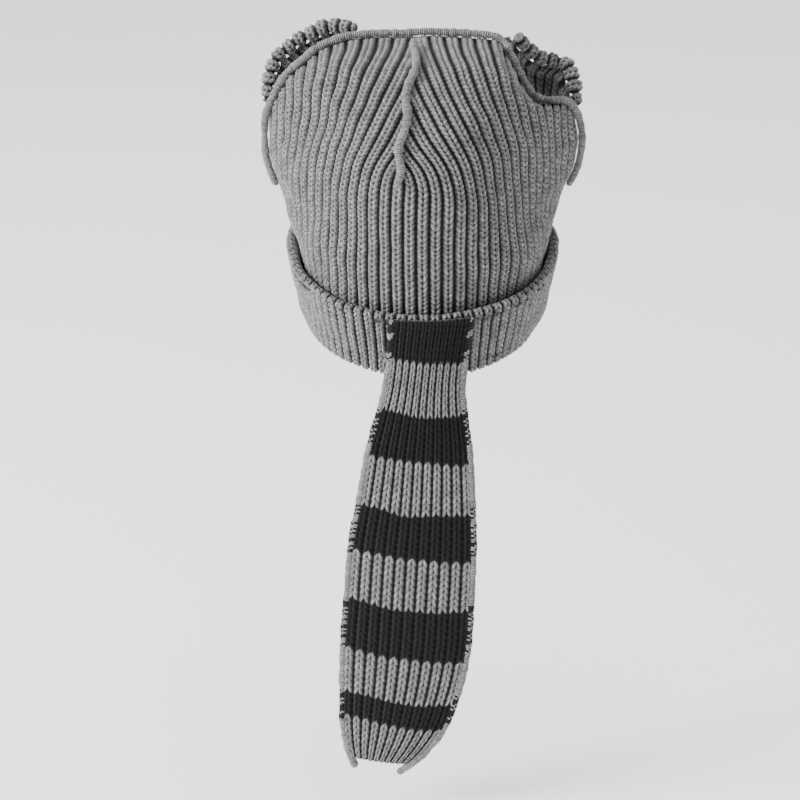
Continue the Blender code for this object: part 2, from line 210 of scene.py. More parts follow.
# The knit: a rib is a chain of two-legged stitches between two gaps
STITCH = 0.00325
TAIL_STITCH = 0.0045
KNIT_RELIEF = 0.0031
TAIL_RELIEF = 0.0022
LEG_SLANT = 1.9
LEG_PLACE = 0.20
LEG_REACH = 0.21
LEG_HEIGHT = 0.56
LEG_SHARE = 0.62
BODY_REACH = 0.42
PIT_DEPTH = 0.30
PIT_WIDTH = 0.075
KNIT_MIDDLE = 0.52
COURSE_WANDER = 0.25
TAIL_COURSE_WANDER = 0.15
COURSE_LUMP = 0.030
WIDE_LUMP = 0.060
WIDE_LUMP_HEIGHT = 0.0010
SMALL_LUMP = 0.022
SMALL_LUMP_HEIGHT = 0.0004
COLUMNS_PER_RIB = 10
COLUMNS_PER_NARROW_RIB = 8
LINING_COLUMNS_PER_RIB = 2
ROW_STEP = 0.00058
TAIL_ROW_STEP = 0.00085
ROWS_PER_LINING_ROW = 8
CUFF_RIBS = 88
TAIL_TILT = 0.085
CROWN_PITCH = 0.0080
CUFF_PITCH = 0.0064
TAIL_PITCH = 0.0063

# How the crown's stitches fade at its seams and under the cuff, in ribs for an edge, else in rise
EDGE_FADE = 0.5
SEAM_FADE = 0.012
SIDE_FADE = 0.03
DART_FADE = 0.04
CUFF_COVER = 0.80
COVER_FADE = 0.03
COVERED_RELIEF = 0.3

# Overlock threads and the ears' rolled edges
THREAD_PITCH = 0.0014
STEPS_PER_THREAD = 5
THREAD_SIDES = 14
THREAD_DEPTH = 0.22
THREAD_UNEVEN = 0.10
THREAD_LUMP = 0.006
RIM_STEP = 0.0007
RIM_SIDES = 32
RIM_RELIEF_SHARE = 0.8
RUFFLE_HEIGHT = 0.0007
RUFFLE_SIZE = 0.012

# How closely curves are measured and smoothed
ANGLE_SAMPLES = 361
RISE_SAMPLES = 300
RIB_SAMPLES = 9
SEAM_SAMPLES = 241
PATH_SAMPLES = 60
EDGE_SAMPLES = 240
FACE_ROWS = 25
FACE_COLUMNS = 281
LAST_CELL = 1.000001
WAVES = 9
NO_LENGTH = 1e-12
WELD = 1e-6


# Curves and the hat's surfaces

def through(knots, values, at):
    """A smooth curve through the values at the knots, with slopes from their neighbours."""
    knots = np.asarray(knots, float)
    values = np.asarray(values, float)
    slopes = np.gradient(values, knots)
    at = np.clip(np.asarray(at, float), knots[0], knots[-1])
    i = np.clip(np.searchsorted(knots, at, side="right") - 1, 0, len(knots) - 2)
    step = knots[i + 1] - knots[i]
    t = (at - knots[i]) / step
    return (
        (2 * t**3 - 3 * t**2 + 1) * values[i]
        + (t**3 - 2 * t**2 + t) * step * slopes[i]
        + (3 * t**2 - 2 * t**3) * values[i + 1]
        + (t**3 - t**2) * step * slopes[i + 1]
    )


def column(table, name):
    return [getattr(row, name) for row in table]


def level(name, rise):
    return through(column(LEVELS, "rise"), column(LEVELS, name), rise)


def ease(t):
    """0 below 0, 1 above 1, and smooth between."""
    t = np.clip(t, 0.0, 1.0)
    return t * t * (3 - 2 * t)


def lip(table, name, across):
    """One column of a mouth's table, exactly 0 outside the mouth."""
    knots = column(table, "across")
    inside = (across > knots[0]) & (across < knots[-1])
    return np.where(inside, through(knots, column(table, name), across), 0.0)


def plain_panel(front, angle, rise):
    """A panel of the crown before its mouth opens.

    Each row is x = -a cos(angle), y = d sin(angle)^pinch, and its height falls from the
    middle's to the side's by the corner power of cos(angle).
    """
    half_width = CROWN_WIDTH / 2 * level("width", rise)
    half_depth = CROWN_DEPTH / 2 * level("front" if front else "back", rise)
    side = WALL - CROWN_HEIGHT * level("side_drop", rise)
    middle = WALL - CROWN_HEIGHT * level("front_drop" if front else "back_drop", rise)
    across = np.clip(-np.cos(angle), -1.0, 1.0)
    round_off = np.clip(1 - across**2, 0.0, 1.0) ** (level("pinch", rise) / 2)
    hold = np.clip(1 - np.abs(across) ** level("corner", rise), 0.0, 1.0)
    x = half_width * across
    y = (1 if front else -1) * half_depth * round_off
    z = side + (middle - side) * hold ** (level("pinch", rise) / 2)
    return np.stack(np.broadcast_arrays(x, y, z), axis=-1)


def panel(front, angle, rise):
    """A panel of the crown, with the back one sagging and the front one rising at the mouths."""
    points = plain_panel(front, angle, rise)
    across = -np.cos(angle)
    opened = ease((rise - EAR_TOP) / (1 - EAR_TOP))
    for sign, table in ((-1, LEFT_MOUTH), (1, RIGHT_MOUTH)):
        here = across * sign
        if front:
            points[..., 1] += opened * MOUTH_GAPE * lip(table, "front_gape", here)
            points[..., 2] += opened * MOUTH_RISE * lip(table, "front_rise", here)
        else:
            points[..., 1] -= opened * MOUTH_GAPE * lip(table, "back_gape", here)
            points[..., 2] -= opened * MOUTH_SAG * lip(table, "back_sag", here)
    return points


def outward(points):
    """Unit vectors away from the hat's core: level up to the core's top, then from there."""
    core = WALL - CROWN_HEIGHT * CORE_DROP
    away = points.copy()
    away[..., 2] = np.maximum(points[..., 2] - core, 0.0)
    return away / np.linalg.norm(away, axis=-1, keepdims=True)


def ribs_taken(rib, rise):
    """The share of its ribs that the dart has taken, as a rib feels it: the further from the
    dart, the more gently."""
    foot = DART[0].place * HALF_RIBS
    reach = DART_NEAR + DART_SPREAD * np.abs(rib - foot)
    total = 0.0
    for step in DART_BLUR:
        total = total + np.interp(rise + step * reach, column(DART, "rise"), column(DART, "taken"))
    return total / len(DART_BLUR)


def share_of_panel(rib, rise):
    """How far across its panel a rib lies, once the dart has taken its ribs."""
    place = through(column(DART, "rise"), column(DART, "place"), rise)
    taken = ribs_taken(rib, rise)
    foot = DART[0].place * HALF_RIBS
    left = foot - DART_RIBS_LEFT * taken
    right = foot + DART_RIBS_RIGHT * taken
    before = place * np.minimum(rib / left, 1.0)
    after = 1 - (1 - place) * np.minimum((HALF_RIBS - rib) / (HALF_RIBS - right), 1.0)
    return np.where(rib < foot, before, after)


def angle_at(front, share, rise):
    """The panel's angle where a share of one row's length has been covered, at one rise."""
    angles = np.linspace(0.0, np.pi, ANGLE_SAMPLES)
    row = plain_panel(front, angles, rise)
    steps = np.linalg.norm(np.diff(row, axis=0), axis=1)
    covered = np.concatenate([[0.0], np.cumsum(steps)])
    return np.interp(share * covered[-1], covered, angles)


def rib_angles(front, ribs, rises):
    return np.array([angle_at(front, share_of_panel(ribs, rise), rise) for rise in rises])


def crown_wall(points, across, rises):
    """Points moved inwards by the wall, which a ray crosses at a slant in the ears."""
    slant = EAR_WALL_EXTRA * np.abs(across) ** 3 * ease((rises - EAR_WALL_START) / EAR_WALL_RISE)
    return points - outward(points) * (WALL * (1 + slant))[..., None]


def cuff_rise(up):
    """The crown's rise beside a share of the cuff's height."""
    slope = CROWN_HEIGHT * (LEVELS[0].side_drop - LEVELS[1].side_drop) / LEVELS[1].rise
    return up * CUFF_HEIGHT / slope


def cuff_point(front, angle, up, out):
    """A point of the cuff, a share of its height up and of half its thickness out."""
    beside = plain_panel(front, angle, cuff_rise(up))
    flare = CUFF_FLARE * up**2 * (FLARE_AT_SIDES + (1 - FLARE_AT_SIDES) * np.sin(angle) ** 2)
    stand = RIB_DEPTH / 2 + GAP + FACET_ALLOWANCE + flare + CUFF_THICKNESS / 2 * (1 + out)
    return beside + outward(beside) * stand[..., None]


# Knit on a grid

def covered_along(points):
    """The length covered from the first row to each, down every column of a grid."""
    steps = np.linalg.norm(np.diff(points, axis=0), axis=-1)
    return np.concatenate([np.zeros((1, points.shape[1])), np.cumsum(steps, axis=0)])


def wander(points, size, seed):
    """Smooth lumps in space from about -1 to 1: seeded waves about a size long, added up."""
    random = np.random.default_rng(seed)
    total = np.zeros(points.shape[:-1])
    for _ in range(WAVES):
        direction = random.normal(size=3)
        direction *= 2 * np.pi / (size * random.uniform(0.7, 1.5) * np.linalg.norm(direction))
        total += np.sin(points @ direction + random.uniform(0.0, 2 * np.pi))
    return total / np.sqrt(WAVES)


def stitches(rib, course):
    """Height of the knit from 0 in a gap to 1. Each whole rib number is a low half-round body
    under two rows of legs: half-ellipsoids, one a course, that climb away from the rib's middle,
    with a pit between each pair and the next."""
    side = np.abs(rib - np.round(rib))
    rows = course - LEG_SLANT * side
    row = rows - np.floor(rows) - 0.5
    body = np.sqrt(np.clip(1 - (side / BODY_REACH) ** 2, 0.0, 1.0))
    leg = 1 - ((side - LEG_PLACE) / LEG_REACH) ** 2 - (row / LEG_HEIGHT) ** 2
    lobe = np.sqrt(np.clip(leg, 0.0, 1.0))
    pit = PIT_DEPTH * np.exp(-((side / PIT_WIDTH) ** 2)) * (2 * row) ** 4
    return (1 - LEG_SHARE) * body + LEG_SHARE * lobe - pit


def facing(points, away):
    """Unit vectors square to a grid's surface, on the side that away points to."""
    normal = np.cross(np.gradient(points, axis=0), np.gradient(points, axis=1))
    length = np.linalg.norm(normal, axis=-1, keepdims=True)
    normal = np.where(length > NO_LENGTH, normal / np.maximum(length, NO_LENGTH), away)
    side = np.sum(normal * away, axis=-1, keepdims=True)
    return np.where(side < 0, -normal, normal)


def settle(points):
    """The soft unevenness of worn knit, the same for all that lies together."""
    wide = WIDE_LUMP_HEIGHT * wander(points, WIDE_LUMP, seed=11)
    small = SMALL_LUMP_HEIGHT * wander(points, SMALL_LUMP, seed=12)
    return points + outward(points) * (wide + small)[..., None]


# Meshes

def quads(index, flip=False):
    """Faces between the neighbours of a grid of point numbers."""
    corners = [index[:-1, :-1], index[:-1, 1:], index[1:, 1:], index[1:, :-1]]
    faces = np.stack(corners[::-1] if flip else corners, axis=-1)
    return faces.reshape(-1, 4)


def bridge(fine, coarse):
    """Triangles between two edges of point numbers: each step of the coarse edge faces a whole,
    even number of steps of the fine one."""
    per = (len(fine) - 1) // (len(coarse) - 1)
    step = np.arange(len(fine) - 1)
    narrow = np.stack([fine[:-1], fine[1:], coarse[(step + per // 2) // per]], axis=-1)
    meet = np.arange(len(coarse) - 1) * per + per // 2
    wide = np.stack([fine[meet], coarse[1:], coarse[:-1]], axis=-1)
    return np.concatenate([narrow, wide])


def object_from(name, points, knit, face_sets, finish):
    """One smooth object from points, their place in the knit and arrays of faces, welded where
    it meets itself, with its faces turned outwards."""
    loops = np.concatenate([faces.ravel() for faces in face_sets])
    sizes = np.concatenate([np.full(len(faces), faces.shape[1]) for faces in face_sets])
    data = bpy.data.meshes.new(name)
    data.vertices.add(len(points))
    data.vertices.foreach_set("co", points.astype(np.float32).ravel())
    data.loops.add(len(loops))
    data.loops.foreach_set("vertex_index", loops.astype(np.int32))
    data.polygons.add(len(sizes))
    data.polygons.foreach_set("loop_start", (np.cumsum(sizes) - sizes).astype(np.int32))
    layer = data.uv_layers.new(name="knit")
    layer.data.foreach_set("uv", knit[loops].astype(np.float32).ravel())
    data.update(calc_edges=True)
    mesh = bmesh.new()
    mesh.from_mesh(data)
    bmesh.ops.remove_doubles(mesh, verts=mesh.verts, dist=WELD)
    bmesh.ops.recalc_face_normals(mesh, faces=mesh.faces)
    mesh.to_mesh(data)
    mesh.free()
    data.shade_smooth()
    data.materials.append(finish)
    made = bpy.data.objects.new(name, data)
    bpy.context.scene.collection.objects.link(made)
    return made


def ring_object(name, points, knit, finish):
    """An object from one grid whose edges already meet."""
    index = np.arange(points.shape[0] * points.shape[1]).reshape(points.shape[:2])
    return object_from(name, points.reshape(-1, 3), knit.reshape(-1, 2), [quads(index)], finish)


def dress(piece, slot, *nodes):
    """The piece rides on the hat and stands for these nodes."""
    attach(piece, "root")
    if nodes:
        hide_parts(*nodes)
    return piece


# Materials

class Number:
    """A number that a material works out: arithmetic with it adds Math nodes."""

    def __init__(self, finish, socket):
        self.finish = finish
        self.socket = socket

    def __add__(self, other):
        return self.finish.math("ADD", self, other)

    def __radd__(self, other):
        return self.finish.math("ADD", other, self)

    def __sub__(self, other):
        return self.finish.math("SUBTRACT", self, other)

    def __rsub__(self, other):
        return self.finish.math("SUBTRACT", other, self)

    def __mul__(self, other):
        return self.finish.math("MULTIPLY", self, other)

    def __rmul__(self, other):
        return self.finish.math("MULTIPLY", other, self)

    def __truediv__(self, other):
        return self.finish.math("DIVIDE", self, other)

    def __pow__(self, other):
        return self.finish.math("POWER", self, other)

    def __gt__(self, other):
        return self.finish.math("GREATER_THAN", self, other)

    def __lt__(self, other):
        return self.finish.math("LESS_THAN", self, other)


class Finish:
    """A material in the making, around one Principled shader."""

    def __init__(self, name, **constants):
        self.material = bpy.data.materials.new(name)
        self.material.use_nodes = True
        self.tree = self.material.node_tree
        self.shader = self.tree.nodes["Principled BSDF"]
        for socket, value in constants.items():
            self.shader.inputs[socket.replace("_", " ")].default_value = value

    def feed(self, socket, value):
        if isinstance(value, Number):
            value = value.socket
        if isinstance(value, bpy.types.NodeSocket):
            self.tree.links.new(value, socket)
        elif socket.type == "RGBA":
            socket.default_value = (*value, 1.0)
        else:
            socket.default_value = value

    def node(self, kind, settings=None, sockets=None):
        """A node of a type, with its settings made first and then its sockets fed."""
        made = self.tree.nodes.new(kind)
        for name, value in (settings or {}).items():
            if name == "stops":
                for place, colour in value[len(made.color_ramp.elements):]:
                    made.color_ramp.elements.new(place)
                for element, (place, colour) in zip(made.color_ramp.elements, value):
                    element.position = place
                    element.color = colour
            elif name == "interpolation":
                made.color_ramp.interpolation = value
            else:
                setattr(made, name, value)
        for name, value in (sockets or {}).items():
            self.feed(made.inputs[name], value)
        return made

    def math(self, operation, *values):
        made = self.node("ShaderNodeMath", {"operation": operation}, dict(enumerate(values)))
        return Number(self, made.outputs[0])

    def root(self, value):
        """The square root of a number, 0 where it is negative."""
        return self.math("SQRT", self.math("MAXIMUM", value, 0.0))

    def place(self):
        """The two numbers of the knit map: rib and course, or round a thread and along it."""
        uv = self.node("ShaderNodeUVMap", {"uv_map": "knit"})
        parts = self.node("ShaderNodeSeparateXYZ", None, {0: uv.outputs["UV"]})
        return Number(self, parts.outputs["X"]), Number(self, parts.outputs["Y"])

    def vector(self, x, y, z=0.0):
        return self.node("ShaderNodeCombineXYZ", None, {"X": x, "Y": y, "Z": z}).outputs[0]

    def noise(self, at, scale, detail=2.0, roughness=0.6):
        settings = {"Vector": at, "Scale": scale, "Detail": detail, "Roughness": roughness}
        return Number(self, self.node("ShaderNodeTexNoise", None, settings).outputs[0])

    def chance(self, at):
        """A random number for each whole-numbered place."""
        made = self.node("ShaderNodeTexWhiteNoise", {"noise_dimensions": "3D"}, {"Vector": at})
        return Number(self, made.outputs["Value"])

    def object_place(self):
        return self.node("ShaderNodeTexCoord").outputs["Object"]

    def blend(self, share, first, second):
        """The first colour where the share is 0 and the second where it is 1."""
        sockets = {0: share, 6: first, 7: second}
        return self.node("ShaderNodeMix", {"data_type": "RGBA"}, sockets).outputs[2]

    def bands(self, share, stops):
        """A ramp's colour at a share of its length, without blending between its stops."""
        settings = {"interpolation": "CONSTANT", "stops": stops}
        return self.node("ShaderNodeValToRGB", settings, {0: share}).outputs[0]

    def tone(self, colour, factor):
        """A colour made lighter or darker by a number."""
        settings = {"operation": "SCALE"}
        made = self.node("ShaderNodeVectorMath", settings, {0: colour, "Scale": factor})
        return made.outputs[0]

    def bump(self, height, distance):
        sockets = {"Height": height, "Distance": distance, "Strength": 1.0}
        self.feed(self.shader.inputs["Normal"], self.node("ShaderNodeBump", None, sockets).outputs[0])


GREY_WOOL = (0.235, 0.230, 0.224)
DARK_FLECK = (0.060, 0.057, 0.054)
LIGHT_FLECK = (0.52, 0.51, 0.50)
BLACK_WOOL = (0.0055, 0.0055, 0.0062)
WOOL = {
    "Roughness": 0.92,
    "Sheen_Weight": 0.18,
    "Sheen_Roughness": 0.45,
    "Specular_IOR_Level": 0.25,
}
FLECKS_PER_METRE = 1150.0
DRIFTS_PER_METRE = 60.0
FIBRES_PER_METRE = 2300.0
THREAD_FIBRES_PER_METRE = 2100.0
FIBRE_BUMP = 0.00030
DARK_THREADS = 0.55


def heather(finish, at, legs):
    """Grey wool spun from dark and light fibres: flecks, and a tone for each leg."""
    fleck = finish.noise(at, FLECKS_PER_METRE, 3.0, 0.75)
    dark = finish.node("ShaderNodeMapRange", None, {0: fleck, 1: 0.50, 2: 0.34}).outputs[0]
    light = finish.node("ShaderNodeMapRange", None, {0: fleck, 1: 0.54, 2: 0.70}).outputs[0]
    colour = finish.blend(dark, GREY_WOOL, DARK_FLECK)
    colour = finish.blend(light, colour, LIGHT_FLECK)
    drift = finish.noise(at, DRIFTS_PER_METRE)
    return finish.tone(colour, 0.62 + 0.44 * legs + 0.32 * drift)


def knit_height(finish, rib, course):
    """The shader's own stitches: the same formula as the mesh."""
    side = finish.math("FRACT", rib + 0.5) - 0.5
    width = finish.math("ABSOLUTE", side)
    rows = course - LEG_SLANT * width
    row = finish.math("FRACT", rows) - 0.5
    body = finish.root(1 - (width * (1 / BODY_REACH)) ** 2)
    leg = 1 - ((width - LEG_PLACE) * (1 / LEG_REACH)) ** 2 - (row * (1 / LEG_HEIGHT)) ** 2
    lobe = finish.root(leg)
    narrow = width * (1 / PIT_WIDTH)
    pit = finish.math("EXPONENT", narrow * narrow * -1.0) * (row * 2.0) ** 4 * PIT_DEPTH
    height = (1 - LEG_SHARE) * body + LEG_SHARE * lobe - pit
    return side, rows, height


def knit_finish(name, pitch, stitch, stripes=None):
    """Rib knit: wool in the tones of its stitches, with painted shade in the gaps between them, and a
    plied yarn's twist.
    """
    finish = Finish(name, **WOOL)
    at = finish.object_place()
    rib, course = finish.place()
    side, rows, height = knit_height(finish, rib, course)
    number = finish.math("FLOOR", rows)
    leg_place = finish.vector(finish.math("ROUND", rib), number, side > 0.0)
    legs = finish.chance(leg_place)
    colour = heather(finish, at, legs)
    if stripes:
        share = (number + 0.5) / (TAIL_CLOTH_LENGTH / TAIL_STITCH)
        black = finish.tone(BLACK_WOOL, 0.7 + 0.6 * legs)
        colour = finish.blend(finish.bands(share, stripes), colour, black)
    # Painted shade: the colour darkens where the stitch relief is low, in the gaps between ribs and
    # the pits between legs
    depth = finish.math("MAXIMUM", height, 0.0)
    colour = finish.tone(colour, 0.07 + 1.05 * finish.math("POWER", depth, 1.3))
    finish.feed(finish.shader.inputs["Base Color"], colour)
    along = finish.math("ABSOLUTE", side) * (pitch / stitch)
    twist = finish.math("SINE", (rows * 2.6 + along * 2.2) * (2 * np.pi))
    fuzz = finish.noise(at, FIBRES_PER_METRE, 2.0, 0.7)
    finish.bump(twist * 0.10 + fuzz * 0.8, FIBRE_BUMP)
    return finish.material


def thread_finish(name, stripes=None):
    """Overlock threads laid side by side round a seam, with painted shade between the turns. On a
    stripe, some of the threads are black."""
    finish = Finish(name, **WOOL)
    at = finish.object_place()
    around, turn = finish.place()
    slanted = turn + around
    wave = finish.math("COSINE", slanted * (2 * np.pi)) * 0.5 + 0.5
    thread = finish.chance(finish.vector(finish.math("ROUND", slanted), 0.0))
    colour = heather(finish, at, thread)
    colour = finish.tone(colour, 1.20)
    if stripes:
        share = turn * (THREAD_PITCH / TAIL_CLOTH_LENGTH)
        band = Number(finish, finish.bands(share, stripes))
        colour = finish.blend(band * (thread < DARK_THREADS), colour, BLACK_WOOL)
    # Painted shade: darker in the grooves between the thread turns, following the tube's ridges
    colour = finish.tone(colour, 0.40 + 0.66 * finish.math("POWER", wave, 0.7))
    finish.feed(finish.shader.inputs["Base Color"], colour)
    fuzz = finish.noise(at, THREAD_FIBRES_PER_METRE, 2.0, 0.7)
    finish.bump(fuzz + wave * 0.4, FIBRE_BUMP)
    return finish.material


def stripe_stops():
    """A ramp that is 1 on the tail's black stripes, in shares of the cloth's length."""
    black = (1.0, 1.0, 1.0, 1.0)
    grey = (0.0, 0.0, 0.0, 1.0)
    stops = []
    for start, end in BLACK_STRIPES:
        stops += [(start, black), (end, grey)]
    return stops


# Crown

def even_rises(start, step):
    """Rises from start to the top seam, a step apart on average over both panels' ribs."""
    rises = np.linspace(start, 1.0, RISE_SAMPLES)
    ribs = np.linspace(0.5, HALF_RIBS - 0.5, RIB_SAMPLES)
    length = np.zeros(len(rises))
    for front in (False, True):
        points = plain_panel(front, rib_angles(front, ribs, rises), rises[:, None])
        length += covered_along(points).mean(axis=1) / 2
    count = int(length[-1] / step / ROWS_PER_LINING_ROW) * ROWS_PER_LINING_ROW
    return np.interp(np.linspace(0.0, length[-1], count + 1), length, rises)


def crown_rises():
    """Wide rows where the cuff covers the crown, then rows fine enough for its stitches."""
    cover = cuff_rise(CUFF_COVER)
    hidden = np.linspace(0.0, cover, ROWS_PER_LINING_ROW * 2 + 1)
    return np.concatenate([hidden[:-1], even_rises(cover, ROW_STEP)])


def seam_hold(ribs, rises):
    """1 on open knit, falling to 0 at the top seam, the side seams and the dart, and low where
    the cuff covers it."""
    top = ease((1.0 - rises) / SEAM_FADE)
    edge = np.minimum(ribs, HALF_RIBS - ribs)
    side = np.maximum(ease((EAR_FOOT - rises) / SIDE_FADE), ease(edge / EDGE_FADE))
    taken = ribs_taken(ribs, rises)
    foot = DART[0].place * HALF_RIBS
    from_left = foot - DART_RIBS_LEFT * taken - ribs
    from_right = ribs - foot - DART_RIBS_RIGHT * taken
    near = np.maximum(from_left, from_right)
    dart = np.maximum(ease((DART_FOOT - rises) / DART_FADE), ease(near / EDGE_FADE))
    shown = ease((rises - cuff_rise(CUFF_COVER)) / COVER_FADE)
    return top * side * dart * (COVERED_RELIEF + (1 - COVERED_RELIEF) * shown)


def make_crown_panel(name, front, finish):
    """A panel as a closed wall: stitches outside, plain ribs inside, joined at all four edges."""
    rises = crown_rises()
    ribs = np.linspace(0.0, HALF_RIBS, HALF_RIBS * COLUMNS_PER_RIB + 1)
    angles = rib_angles(front, ribs, rises)
    tall = rises[:, None]
    base = settle(panel(front, angles, tall))
    away = outward(base)
    course = covered_along(base) / STITCH
    course = course + COURSE_WANDER * wander(base, COURSE_LUMP, seed=21)
    hold = seam_hold(ribs[None, :], tall)
    height = (stitches(ribs[None, :], course) - KNIT_MIDDLE) * hold * KNIT_RELIEF
    square = facing(base, away)
    border = ease(np.minimum(ribs, HALF_RIBS - ribs))[None, :, None]
    direction = away + (square - away) * border
    outside = base + direction * height[..., None]

    lining_columns = slice(None, None, COLUMNS_PER_RIB // LINING_COLUMNS_PER_RIB)
    pick = (slice(None, None, ROWS_PER_LINING_ROW), lining_columns)
    inner_rises = tall[pick[0]]
    inside = crown_wall(base[pick], -np.cos(angles[pick]), inner_rises)
    valley = np.cos(2 * np.pi * ribs[lining_columns])[None, :] * hold[pick] * RIB_DEPTH / 2
    inside = inside + away[pick] * valley[..., None]

    knit_out = np.stack(np.broadcast_arrays(ribs[None, :], course), axis=-1)
    outer = np.arange(outside[..., 0].size).reshape(outside.shape[:2])
    inner = outer.size + np.arange(inside[..., 0].size).reshape(inside.shape[:2])
    points = np.concatenate([outside.reshape(-1, 3), inside.reshape(-1, 3)])
    knit = np.concatenate([knit_out.reshape(-1, 2), knit_out[pick].reshape(-1, 2)])
    edges = [
        bridge(outer[0], inner[0]),
        bridge(outer[-1], inner[-1])[:, ::-1],
        bridge(outer[:, 0], inner[:, 0])[:, ::-1],
        bridge(outer[:, -1], inner[:, -1]),
    ]
    faces = [quads(outer), quads(inner, flip=True), *edges]
    return object_from(name, points, knit, faces, finish)


# Cuff

def make_cuff(finish):
    """The section carried once round the brim, its ribs raised outside and over the roll."""
    knots = np.linspace(0.0, 1.0, len(CUFF_SECTION) + 1)
    up = column(CUFF_SECTION, "up") + [CUFF_SECTION[0].up]
    out = column(CUFF_SECTION, "out") + [CUFF_SECTION[0].out]
    roll = knots[CUFF_ROLL]
    outer_rows = np.linspace(0.0, roll, CUFF_OUTER_ROWS)[:-1]
    t = np.concatenate([outer_rows, np.linspace(roll, 1.0, CUFF_INNER_ROWS)])
    up = through(knots, up, t)
    out = through(knots, out, t)
    half = CUFF_RIBS // 2
    ribs = np.linspace(0.0, half, half * COLUMNS_PER_NARROW_RIB + 1)
    rounds = []
    for front in (False, True):
        angles = np.array([angle_at(front, ribs / half, cuff_rise(u)) for u in up])
        side = cuff_point(front, angles, up[:, None], out[:, None])
        rounds.append(side[:, ::-1] if front else side)
    base = np.concatenate([rounds[0][:, :-1], rounds[1]], axis=1)
    rib = np.concatenate([ribs[:-1], half + ribs])
    base = settle(base)
    course = COURSE_WANDER * wander(base, COURSE_LUMP, seed=22) - covered_along(base) / STITCH
    outer = ease(out[:, None] - CUFF_PLAIN_OUT)
    height = (stitches(rib[None, :], course) - KNIT_MIDDLE) * outer * KNIT_RELIEF
    middle = base.mean(axis=0)
    away = facing(base, base - middle)
    points = base + away * height[..., None]
    points[-1] = points[0]
    points[:, -1] = points[:, 0]
    knit = np.stack(np.broadcast_arrays(rib[None, :], course), axis=-1)
    return ring_object("turned_up_cuff", points, knit, finish)


# Tail

def tail_surface():
    """A table of the tail's y and z at each share up the cuff and each x, from the cuff's face."""
    angles = np.linspace(TAIL_FACE_ANGLE, np.pi - TAIL_FACE_ANGLE, ANGLE_SAMPLES)
    stand = max(TAIL_EDGE_RADIUS, TAIL_THICKNESS / 2 + TAIL_RIB_DEPTH / 2) + GAP
    stand = stand + RIB_DEPTH / 2 + FACET_ALLOWANCE
    ups = np.linspace(0.0, TAIL_TOP, FACE_ROWS)
    out = np.interp(ups, column(CUFF_FACE, "up"), column(CUFF_FACE, "out"))
    face = cuff_point(False, angles[None, :], ups[:, None], out[:, None])
    face = face + outward(face) * stand
    xs = np.linspace(-TAIL_REACH, TAIL_REACH, FACE_COLUMNS)
    depth = np.array([np.interp(xs, row[:, 0], row[:, 1]) for row in face])
    height = np.array([np.interp(xs, row[:, 0], row[:, 2]) for row in face])
    return ups, xs, depth, height


def between(table, rows, columns, row, column_at):
    """A table read between its rows and columns, by the shares of the four around it."""
    r = np.clip((row - rows[0]) / (rows[1] - rows[0]), 0, len(rows) - LAST_CELL)
    c = np.clip((column_at - columns[0]) / (columns[1] - columns[0]), 0, len(columns) - LAST_CELL)
    i = r.astype(int)
    j = c.astype(int)
    r = r - i
    c = c - j
    upper = table[i, j] * (1 - c) + table[i, j + 1] * c
    lower = table[i + 1, j] * (1 - c) + table[i + 1, j + 1] * c
    return upper * (1 - r) + lower * r


TAIL_SURFACE = tail_surface()


def tail_place(x, along):
    """The middle of the tail's thickness at x, a length along it from the cuff's top.

    It follows the cuff's outer face down to the brim and then hangs, its curve across
    flattening as it goes.
    """
    ups, xs, depth, height = TAIL_SURFACE
    x, along = np.broadcast_arrays(np.asarray(x, float), np.asarray(along, float))
    up = TAIL_TOP - along / CUFF_HEIGHT
    on_cuff = np.clip(up, 0.0, TAIL_TOP)
    y = between(depth, ups, xs, on_cuff, x)
    z = between(height, ups, xs, on_cuff, x)
    hanging = np.maximum(-up, 0.0) * CUFF_HEIGHT
    hem = np.interp(0.0, xs, depth[0])
    y = y + (hem - y) * ease(hanging / TAIL_RELAX) * TAIL_FLATTEN
    return np.stack([x, y, z - hanging], axis=-1)


def tail_edge(side, inset, downs):
    """An edge of the tail moved in by a length, as (x, length along) at each share down."""
    along = np.asarray(downs) * TAIL_LENGTH
    name = "left" if side < 0 else "right"
    x = TAIL_WIDTH * through(column(TAIL_EDGES, "down"), column(TAIL_EDGES, name), downs)
    slope = np.gradient(x, along)
    length = np.sqrt(1 + slope**2)
    return x - side * inset / length, along + side * inset * slope / length


